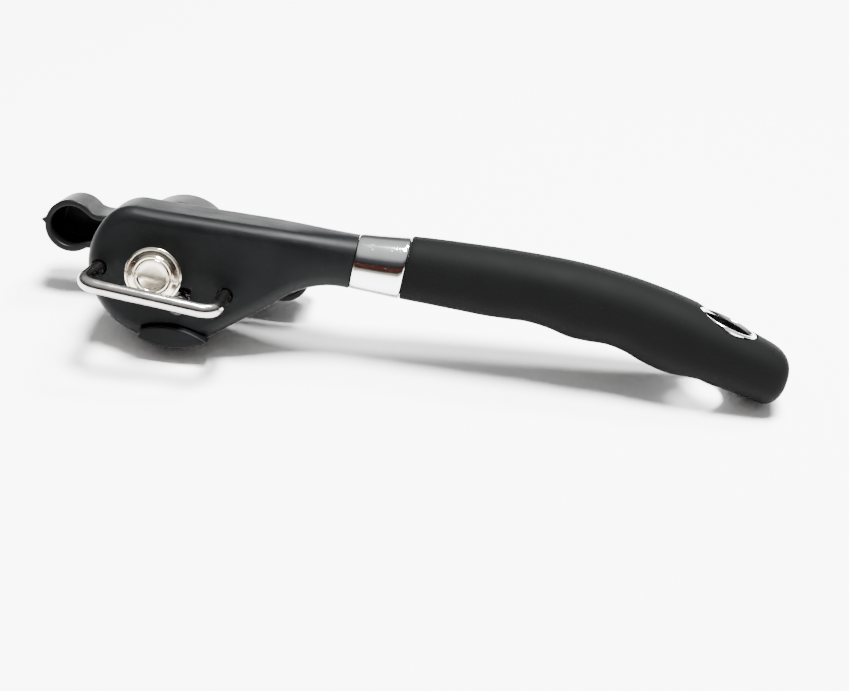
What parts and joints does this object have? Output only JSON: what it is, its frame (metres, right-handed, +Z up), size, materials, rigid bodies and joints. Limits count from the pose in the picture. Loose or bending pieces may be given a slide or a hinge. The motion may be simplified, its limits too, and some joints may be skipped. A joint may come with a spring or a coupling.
{
  "type": "manual can opener",
  "caption": "One-handled side-cutting can opener: round head with a turn knob, flanged drive wheel, cutter wheel, wire bail, and a soft grip with a hang hole.",
  "frame": {"origin": "on the table, under the middle of the bounding box, with the opener lying as it comes to rest on the head's back edge, the knob's hub and the end of the grip", "axes": "+X along the handle from the head to the hang hole, +Z up from the table, -Y the side of the drive wheel and the wire bail, +Y the side of the turn knob"},
  "size_m": [0.2142, 0.0572, 0.0398],
  "materials": {
    "black_shell": "satin moulded ABS",
    "knob_plastic": "satin moulded plastic",
    "core_plastic": "plain moulded polypropylene",
    "soft_grip": "soft-touch matte",
    "chrome_trim": "bright chrome plate",
    "wire": "bright nickel-plated wire",
    "wheel_nickel": "warm nickel plate, turned face",
    "tool_steel": "ground tool steel",
    "plate_steel": "stamped zinc-plated steel",
    "screw_steel": "zinc-plated",
    "bush_brass": "turned",
    "nylon": "natural nylon"
  },
  "bodies": {
    "body": {"front_shell": "black_shell", "rear_shell": "black_shell", "frame_plate": "plate_steel", "rim_pad": "black_shell", "wire_bail": "wire", "shell_screws": "screw_steel", "front_bush": "bush_brass", "rear_bush": "bush_brass", "lever_pin": "tool_steel", "spacer_sleeve": "bush_brass", "ferrule": "chrome_trim", "handle_core": "core_plastic", "core_rivets": "screw_steel", "grip": "soft_grip", "hang_eyelet": "chrome_trim"},
    "drive": {"drive_shaft": "wheel_nickel", "drive_wheel": "wheel_nickel", "retaining_clip": "screw_steel", "thrust_washer": "nylon", "turn_knob": "knob_plastic", "knob_washer": "screw_steel", "knob_screw": "screw_steel", "wave_washer": "tool_steel"},
    "clamp_gear": {"clamp_gear": "tool_steel"},
    "clamp_lever": {"clamp_lever": "tool_steel", "cutter_pin": "tool_steel", "cutter_spacer": "tool_steel"},
    "cutter": {"cutter_wheel": "tool_steel"}
  },
  "joints": [
    {"name": "knob_turn", "type": "hinge", "parent": "body", "child": "drive", "pos_m": [-0.06677, -0.01288, 0.02466], "axis": [-0.0347, 0.9592, -0.2807], "continuous": true},
    {"name": "clamp_turn", "type": "hinge", "parent": "body", "child": "clamp_gear", "pos_m": [-0.06692, -0.00866, 0.02343], "axis": [-0.0347, 0.9592, -0.2807], "range_deg": [0, 18]},
    {"name": "clamp_swing", "type": "hinge", "parent": "body", "child": "clamp_lever", "pos_m": [-0.06866, -0.01283, 0.00938], "axis": [-0.0347, 0.9592, -0.2807], "range_deg": [-7.2, 0]},
    {"name": "cutter_spin", "type": "hinge", "parent": "clamp_lever", "child": "cutter", "pos_m": [-0.06014, -0.01841, 0.01779], "axis": [-0.0347, 0.9592, -0.2807], "continuous": true}
  ],
  "couplings": [
    {"joint": "clamp_swing", "follows": "clamp_turn", "ratio": -0.4}
  ]
}
